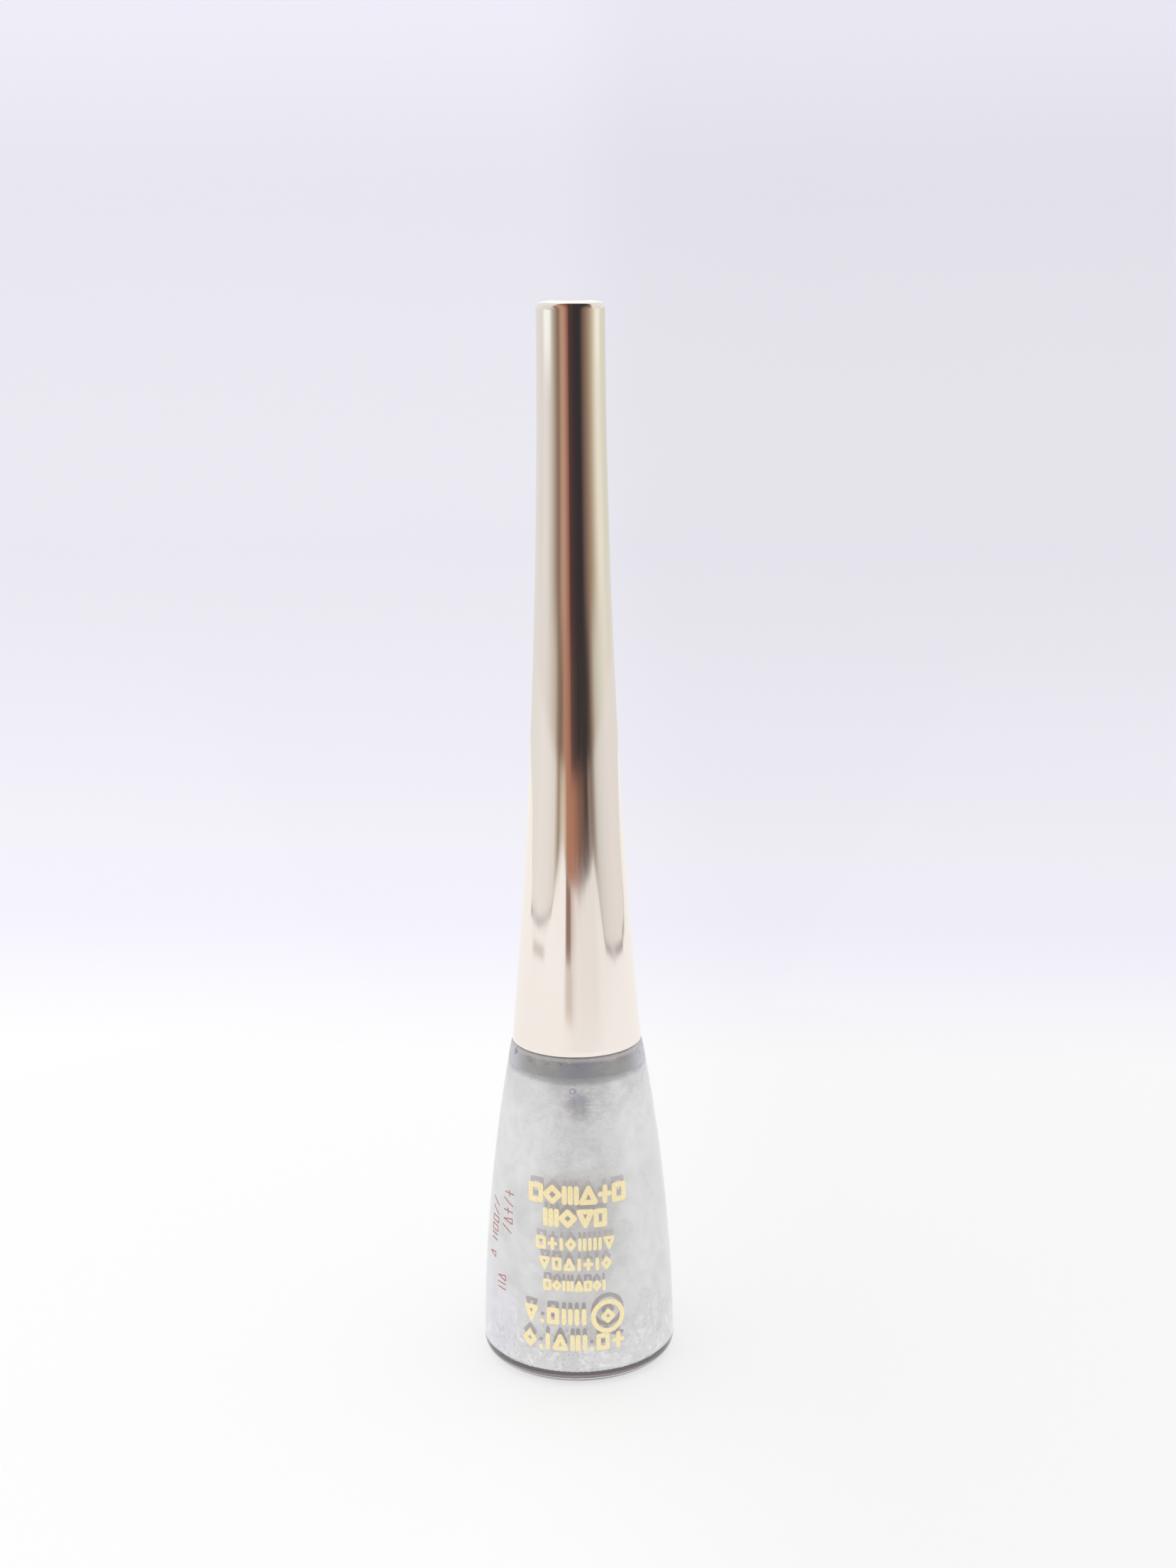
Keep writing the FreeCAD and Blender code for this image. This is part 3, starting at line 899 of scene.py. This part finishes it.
def make_print(name, material, radius_at, rise, slot, fatter, spread=1.0):
    """The print on a surface; rise lifts its rows in mm, the most at the foot."""
    plates = Plates(radius_at, spread)

    def risen(height):
        return height + rise * (1 - height / RISE_ENDS)

    for height, tall, stroke, start, end, marks in PRINT_ROWS:
        z = risen(height)
        left, right = math.radians(start) * wall(height), math.radians(end) * wall(height)
        gap = (right - left - sum(width for _, width in marks)) / (len(marks) - 1)
        x = left
        for shape, width in marks:
            plates.shape(shape, x + width / 2, z, width + fatter, tall + fatter, stroke + fatter)
            x += width + gap
    x, z = math.radians(RING_BEARING) * wall(RING_HEIGHT), risen(RING_HEIGHT)
    plates.ring(x, z, RING_OUTER + fatter / 2, RING_INNER - fatter / 2)
    mark = RING_MARK + fatter
    plates.shape("diamond", x, z, mark, mark, RING_MARK_STROKE + fatter)
    return plates.finish(name, material, slot)


# Each column: lowest and highest mark, bearing, mark length
CODE_COLUMNS = ((9.9, 12.9, -55.0, 1.5), (15.6, 22.6, -52.0, 1.6), (12.9, 19.3, -67.0, 1.5))
CODE_SHAPES = ("diamond", "slope", "pair", "square", "triangle", "cross", "square")
CODE_MARK_WIDTH, CODE_STROKE, CODE_SPACING, CODE_GAPS = 0.72, 0.14, 1.0, 0.14


def make_code():
    """The place of a stamped batch code: columns of small marks, turned on their side."""
    draw = random.Random(3)
    plates = Plates(wall)
    for low, high, bearing, length in CODE_COLUMNS:
        z = low
        while z < high:
            if draw.random() > CODE_GAPS:
                x = math.radians(bearing + draw.uniform(-0.8, 0.8)) * wall(z)
                shape = draw.choice(CODE_SHAPES)
                plates.shape(shape, x, z, CODE_MARK_WIDTH, length, CODE_STROKE, upright=False)
            z += CODE_SPACING
    return plates.finish("batch_marks", code_ink(), "metallised_plastic")


# ---------------------------------------------------------------- finish of the CAD nodes

FINISHES = {
    "bottle": clear_plastic,
    "wiper": milky_plastic,
    "base_label": label_film,
    "inner_cap": white_plastic,
    "seal_washer": washer_foam,
    "wand_stem": stem_plastic,
    "brush_staple": staple_brass,
}


def dress_nodes():
    for name, finish in FINISHES.items():
        material = finish()
        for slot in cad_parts[name].material_slots:
            slot.material = material


# ---------------------------------------------------------------- floor, backdrop and light


def stage_sheet(name, vertices, faces, material):
    sheet = new_piece(name, vertices, faces, material, None)
    return sheet


SWEEP_HALF_WIDTH = 1.6
SWEEP_FRONT, SWEEP_BACK = -1.2, 0.62
SWEEP_BEND = 0.12
SWEEP_TOP = 1.1
PAPER_GLOW = 0.5


def make_sweep():
    """White paper on a table that runs up into a pale lavender wall, lit a little from behind."""
    material, g = new_material("sweep_paper")
    place = g.place()
    x, y, z = g.split(place)
    far = g.plus(g.plus(y, z), g.times(x, 0.12))
    tone = g.ramp(
        g.times(far, 2.0),
        (0.0, (0.962, 0.962, 0.962)),
        (0.190, (0.962, 0.962, 0.964)),
        (0.26, (0.915, 0.908, 0.970)),
        (0.33, (0.875, 0.860, 0.952)),
        (0.44, (0.868, 0.856, 0.916)),
        (0.54, (0.846, 0.838, 0.906)),
        (0.74, (0.834, 0.820, 0.886)),
        (0.99, (0.822, 0.814, 0.872)),
    )
    tone = g.mix(g.smooth(z, 0.13, 0.20), tone, (0.872, 0.856, 0.940))
    tone = g.mix(g.smooth(z, 0.25, 0.42), tone, (1.10, 1.10, 1.08))
    # painted shade: the paper and wall darker towards the right, with a faint random mottle
    right = g.scaled(g.smooth(x, -0.015, 0.035), 1.0, 0.950)
    mottle = g.scaled(g.noise(place, 9.0, 3.0), 0.994, 1.006)
    shade = g.times(right, mottle)
    fibre = g.noise(place, 2500.0, 3.0)
    colour = g.mix(1.0, tone, g.grey(shade), "MULTIPLY")
    g.surface(
        Base_Color=g.mix(1.0, colour, (1 - PAPER_GLOW,) * 3, "MULTIPLY"),
        Emission_Color=colour,
        Emission_Strength=PAPER_GLOW,
        Roughness=0.9,
        Specular_IOR_Level=0.1,
        Normal=g.bump(fibre, 0.05, 0.00002),
    )
    profile = [(SWEEP_FRONT + (SWEEP_BACK - SWEEP_FRONT) * i / 24, 0.0) for i in range(25)]
    for i in range(1, 17):
        a = math.pi / 2 * i / 16
        profile.append((SWEEP_BACK + SWEEP_BEND * math.sin(a), SWEEP_BEND * (1 - math.cos(a))))
    profile.append((SWEEP_BACK + SWEEP_BEND, SWEEP_TOP))
    vertices = [(sx, py, pz) for py, pz in profile for sx in (-SWEEP_HALF_WIDTH, SWEEP_HALF_WIDTH)]
    faces = [(2 * i, 2 * i + 1, 2 * i + 3, 2 * i + 2) for i in range(len(profile) - 1)]
    stage_sheet("sweep", vertices, faces, material)


SCREEN_RADIUS = 0.45
SCREEN_TOP = 0.16
SCREEN_REACH = 165


def only_reflected(piece):
    """Shows a stage piece in reflections alone, with no light or shadow on anything else."""
    piece.visible_camera = False
    piece.visible_diffuse = False
    piece.visible_transmission = False
    piece.visible_shadow = False
    piece.visible_volume_scatter = False


def polar(g):
    """A reflected point's distance from the Z axis and its bearing in degrees, the front at 0."""
    x, y, z = g.split(g.place())
    bearing = g.bearing(x, y)
    distance = g.from_axis(x, y)
    return bearing, distance, z


def bent_strip(name, material, edges):
    """A reflected strip round the axis, open at the back; edges are two (radius, height) pairs."""
    steps = 120
    low, high = math.radians(-SCREEN_REACH), math.radians(SCREEN_REACH)
    vertices = []
    for i in range(steps + 1):
        a = low + (high - low) * i / steps
        vertices += [(r * math.sin(a), -r * math.cos(a), z) for r, z in edges]
    faces = [(2 * i, 2 * i + 2, 2 * i + 3, 2 * i + 1) for i in range(steps)]
    only_reflected(stage_sheet(name, vertices, faces, material))


def by_bearing(g, bearing, *stops):
    """A colour for each bearing, between stops of (degrees, colour)."""
    across = g.plus(g.math("DIVIDE", bearing, 360.0), 0.5)
    return g.ramp(across, *((angle / 360 + 0.5, colour) for angle, colour in stops))


# The tones of the walls and cards, here and in make_screen, follow tones measured on the photo's
# cap. They were typed, rounded, and then adjusted against renders.


def near_floor(g, bearing):
    """The studio's tones where it meets the table: a copper card and a dark one between pale walls."""
    return by_bearing(
        g, bearing,
        (-150, (0.78, 0.80, 0.76)),
        (-105, (0.83, 0.82, 0.81)),
        (-90, (0.85, 0.845, 0.84)),
        (-72, (0.84, 0.83, 0.82)),
        (-60, (0.81, 0.79, 0.775)),
        (-50, (0.76, 0.73, 0.69)),
        (-44, (0.52, 0.46, 0.38)),
        (-39.5, (0.32, 0.26, 0.20)),
        (-35, (0.50, 0.43, 0.34)),
        (-30, (0.66, 0.57, 0.46)),
        (-24, (0.67, 0.52, 0.40)),
        (-19, (0.46, 0.24, 0.16)),
        (-12, (0.45, 0.21, 0.14)),
        (-3, (0.44, 0.21, 0.14)),
        (3, (0.30, 0.15, 0.11)),
        (10, (0.23, 0.13, 0.10)),
        (17, (0.19, 0.12, 0.09)),
        (24, (0.12, 0.065, 0.055)),
        (30, (0.09, 0.06, 0.055)),
        (35, (0.30, 0.23, 0.21)),
        (40, (0.24, 0.19, 0.16)),
        (46, (0.33, 0.28, 0.23)),
        (54, (0.62, 0.60, 0.57)),
        (62, (0.71, 0.69, 0.685)),
        (75, (0.77, 0.75, 0.745)),
        (95, (0.82, 0.79, 0.79)),
        (125, (0.80, 0.78, 0.77)),
        (160, (0.77, 0.78, 0.74)),
    )


def upper_tones(g, bearing):
    """The studio's tones higher up: pale walls, a copper card and a dark one."""
    return by_bearing(
        g, bearing,
        (-150, (0.77, 0.80, 0.80)),
        (-112, (0.77, 0.76, 0.75)),
        (-96, (0.82, 0.79, 0.78)),
        (-84, (0.78, 0.76, 0.76)),
        (-72, (0.67, 0.64, 0.62)),
        (-61, (0.52, 0.46, 0.41)),
        (-51, (0.34, 0.27, 0.22)),
        (-43, (0.25, 0.17, 0.13)),
        (-38, (0.33, 0.22, 0.16)),
        (-33, (0.46, 0.31, 0.23)),
        (-24, (0.53, 0.31, 0.23)),
        (-15, (0.37, 0.18, 0.13)),
        (-8, (0.19, 0.085, 0.075)),
        (-2, (0.08, 0.045, 0.045)),
        (5, (0.05, 0.037, 0.042)),
        (25, (0.037, 0.035, 0.037)),
        (31, (0.06, 0.05, 0.05)),
        (38, (0.15, 0.10, 0.09)),
        (46, (0.24, 0.16, 0.125)),
        (56, (0.35, 0.25, 0.18)),
        (67, (0.48, 0.41, 0.31)),
        (78, (0.68, 0.63, 0.53)),
        (90, (0.84, 0.82, 0.72)),
        (104, (0.84, 0.83, 0.73)),
        (120, (0.74, 0.74, 0.64)),
        (140, (0.71, 0.71, 0.65)),
        (165, (0.77, 0.79, 0.75)),
    )


def make_screen():
    """What the mirror-like cap sees: warm grey walls with copper and dark cards in the middle."""
    material, g = new_material("room_screen")
    bearing, _, z = polar(g)
    upper = upper_tones(g, bearing)
    lower = by_bearing(
        g, bearing,
        (-150, (0.78, 0.80, 0.77)),
        (-100, (0.80, 0.77, 0.77)),
        (-84, (0.79, 0.77, 0.74)),
        (-70, (0.71, 0.67, 0.62)),
        (-60, (0.63, 0.58, 0.52)),
        (-50, (0.52, 0.45, 0.39)),
        (-45, (0.36, 0.28, 0.23)),
        (-40, (0.25, 0.18, 0.13)),
        (-33, (0.25, 0.16, 0.12)),
        (-26, (0.43, 0.25, 0.18)),
        (-18, (0.43, 0.22, 0.15)),
        (-10, (0.33, 0.15, 0.11)),
        (-5, (0.16, 0.09, 0.07)),
        (1, (0.075, 0.05, 0.05)),
        (10, (0.045, 0.04, 0.04)),
        (30, (0.045, 0.038, 0.038)),
        (36, (0.065, 0.045, 0.042)),
        (42, (0.13, 0.095, 0.075)),
        (50, (0.31, 0.25, 0.21)),
        (59, (0.54, 0.50, 0.43)),
        (70, (0.65, 0.64, 0.56)),
        (82, (0.73, 0.72, 0.63)),
        (100, (0.80, 0.78, 0.72)),
        (125, (0.75, 0.74, 0.67)),
        (160, (0.76, 0.78, 0.74)),
    )
    colour = g.mix(g.smooth(z, 0.024, 0.044), lower, upper)
    colour = g.mix(g.smooth(z, 0.013, 0.007), colour, near_floor(g, bearing))
    lit = g.smooth(z, 0.074, 0.092)
    left = g.times(lit, g.between(bearing, -99, -70, 9))
    right = g.times(lit, g.between(bearing, 88, 108, 9))
    colour = g.mix(g.times(left, 0.9), colour, (1.01, 1.07, 1.03))
    colour = g.mix(g.times(right, 0.7), colour, (0.95, 0.99, 0.88))
    g.glow(colour)
    bent_strip("room_screen", material, ((SCREEN_RADIUS, 0.0), (SCREEN_RADIUS, SCREEN_TOP)))


CARD_CENTRE = 0.115
CARD_WHITE = (1.16, 1.15, 1.12)
CARD_GREY = (0.84, 0.84, 0.86)


def make_overhead_card():
    """The walls and cards carried on over the cap, for the rounding of its crown to reflect."""
    material, g = new_material("overhead_card")
    bearing, distance, z = polar(g)
    x, y, _ = g.split(g.place())
    above = g.minus(z, CARD_CENTRE)
    elevation = g.degrees(g.math("ARCTAN2", above, distance))
    back = g.smooth(g.math("ABSOLUTE", bearing), 112.0, 128.0)
    white = g.math("MAXIMUM", back, g.smooth(elevation, 52.0, 74.0))
    flank = g.smooth(g.math("ABSOLUTE", x), 0.05, 0.13)
    bright = g.mix(flank, CARD_WHITE, CARD_GREY)
    walls = g.mix(white, upper_tones(g, bearing), bright)
    aside = g.degrees(g.math("ARCSINE", g.math("DIVIDE", x, SCREEN_RADIUS)))
    over = g.bearing(above, y)
    wide = g.math("ABSOLUTE", g.minus(aside, 8.0))
    end = g.scaled(g.smooth(wide, 12.0, 56.0), 118.0, 80.0)
    card = g.times(g.smooth(g.minus(over, end), 8.0, -8.0), g.smooth(wide, 60.0, 50.0))
    g.glow(g.mix(card, walls, upper_tones(g, aside)))
    start = math.asin((SCREEN_TOP - 0.002 - CARD_CENTRE) / SCREEN_RADIUS)
    around, along = 120, 36
    vertices, faces = [], []
    for j in range(along + 1):
        e = start + (math.radians(89.5) - start) * j / along
        reach, height = SCREEN_RADIUS * math.cos(e), CARD_CENTRE + SCREEN_RADIUS * math.sin(e)
        for i in range(around):
            a = TAU * i / around
            vertices.append((reach * math.sin(a), -reach * math.cos(a), height))
    for j in range(along):
        for i in range(around):
            a, b = j * around + i, j * around + (i + 1) % around
            faces.append((a, b, b + around, a + around))
    only_reflected(stage_sheet("overhead_card", vertices, faces, material))


TABLE_NEAR, TABLE_LIFT = 0.12, 0.0002


def make_table_tones():
    """The paper's edge on the table and the foot of the cards, as the cap sees them."""
    material, g = new_material("table_tones")
    bearing, distance, _ = polar(g)

    def reach(mm):
        return (mm / 500, mm / 500, mm / 500)

    edge = g.times(g.split(by_bearing(
        g, bearing,
        (-150, reach(335)),
        (-122, reach(330)),
        (-110, reach(250)),
        (-98, reach(260)),
        (-83, reach(275)),
        (-66, reach(300)),
        (-53, reach(325)),
        (-44, reach(365)),
        (-39, reach(390)),
        (-33, reach(415)),
        (-28, reach(430)),
        (-20, reach(405)),
        (-15, reach(390)),
        (5, reach(380)),
        (33, reach(390)),
        (41, reach(395)),
        (48, reach(365)),
        (53, reach(335)),
        (62, reach(280)),
        (78, reach(255)),
        (96, reach(235)),
        (111, reach(220)),
        (119, reach(225)),
        (126, reach(270)),
        (136, reach(320)),
        (150, reach(335)),
    ))[0], 0.5)
    beyond = g.minus(distance, edge)
    sheet = by_bearing(
        g, bearing,
        (-150, (0.975, 0.975, 0.975)),
        (-30, (0.965, 0.96, 0.96)),
        (-2, (0.88, 0.86, 0.85)),
        (10, (0.85, 0.83, 0.82)),
        (38, (0.84, 0.83, 0.82)),
        (50, (0.90, 0.89, 0.89)),
        (110, (0.93, 0.925, 0.93)),
        (150, (0.96, 0.96, 0.96)),
    )
    sheet = g.mix(g.smooth(distance, 0.29, 0.15), sheet, (0.955, 0.95, 0.945))
    tone = g.mix(g.smooth(beyond, -0.004, 0.008), sheet, near_floor(g, bearing))
    # painted shadow: a dark line along the paper's edge
    line = g.smooth(g.math("ABSOLUTE", beyond), 0.008, 0.001)
    left = g.times(g.between(bearing, -116, -46, 6), 0.48)
    slant = g.times(g.between(bearing, -40, -18, 5), 0.50)
    right = g.times(g.between(bearing, 50, 122, 8), 0.58)
    marked = g.plus(g.plus(left, slant), right)
    tone = g.mix(g.times(line, marked), tone, (0.12, 0.08, 0.07))
    # the copper card's foot, and the softer shadow beside it
    streak = g.times(g.between(bearing, -20.5, -10.5, 2.2), g.smooth(distance, 0.296, 0.312))
    streak = g.times(streak, g.smooth(beyond, 0.01, -0.01))
    side = g.times(g.between(bearing, -13, -2, 4), g.smooth(distance, 0.300, 0.325))
    side = g.times(side, g.smooth(beyond, 0.01, -0.01))
    tone = g.mix(g.times(side, 0.7), tone, (0.50, 0.38, 0.32))
    tone = g.mix(g.times(streak, 0.95), tone, (0.27, 0.155, 0.13))
    # a faint grey patch on the paper at the left
    slope = g.times(g.plus(bearing, 76.0), 0.0011)
    within = g.minus(g.minus(distance, slope), 0.263)
    drop = g.times(g.between(bearing, -97, -66, 6), g.between(within, -0.009, 0.002, 0.003))
    tone = g.mix(drop, tone, (0.66, 0.63, 0.62))
    # the copper card's reflection in the paper
    smear = g.times(g.between(bearing, -21, -3, 5), g.between(distance, 0.252, 0.302, 0.012))
    tone = g.mix(g.times(smear, 0.8), tone, (0.64, 0.55, 0.50))
    g.glow(tone)
    bent_strip("table_tones", material, ((TABLE_NEAR, TABLE_LIFT), (SCREEN_RADIUS, TABLE_LIFT)))


WORLD_STRENGTH = 1.06


def make_world():
    """Even white light from all round."""
    world = bpy.data.worlds.new("studio")
    bpy.context.scene.world = world
    g = Graph(world)
    shader = g.add("Background")
    g.put(shader, "Color", (1.0, 1.0, 1.0, 1.0))
    g.put(shader, "Strength", WORLD_STRENGTH)
    g.end(shader, "OutputWorld")


make_camera()
bpy.context.scene.view_settings.view_transform = "Standard"
make_world()
make_sweep()
make_screen()
make_overhead_card()
make_table_tones()
dress_nodes()
make_liquid()
make_cap()
make_bristles()
make_print("foil_print", gold_ink(), wall, 0.0, "metallised_plastic", 0.10)
make_print("print_shade", ink_shade(), fill_surface, 0.27, "glitter_liquid", 0.03, 1.13)
make_code()
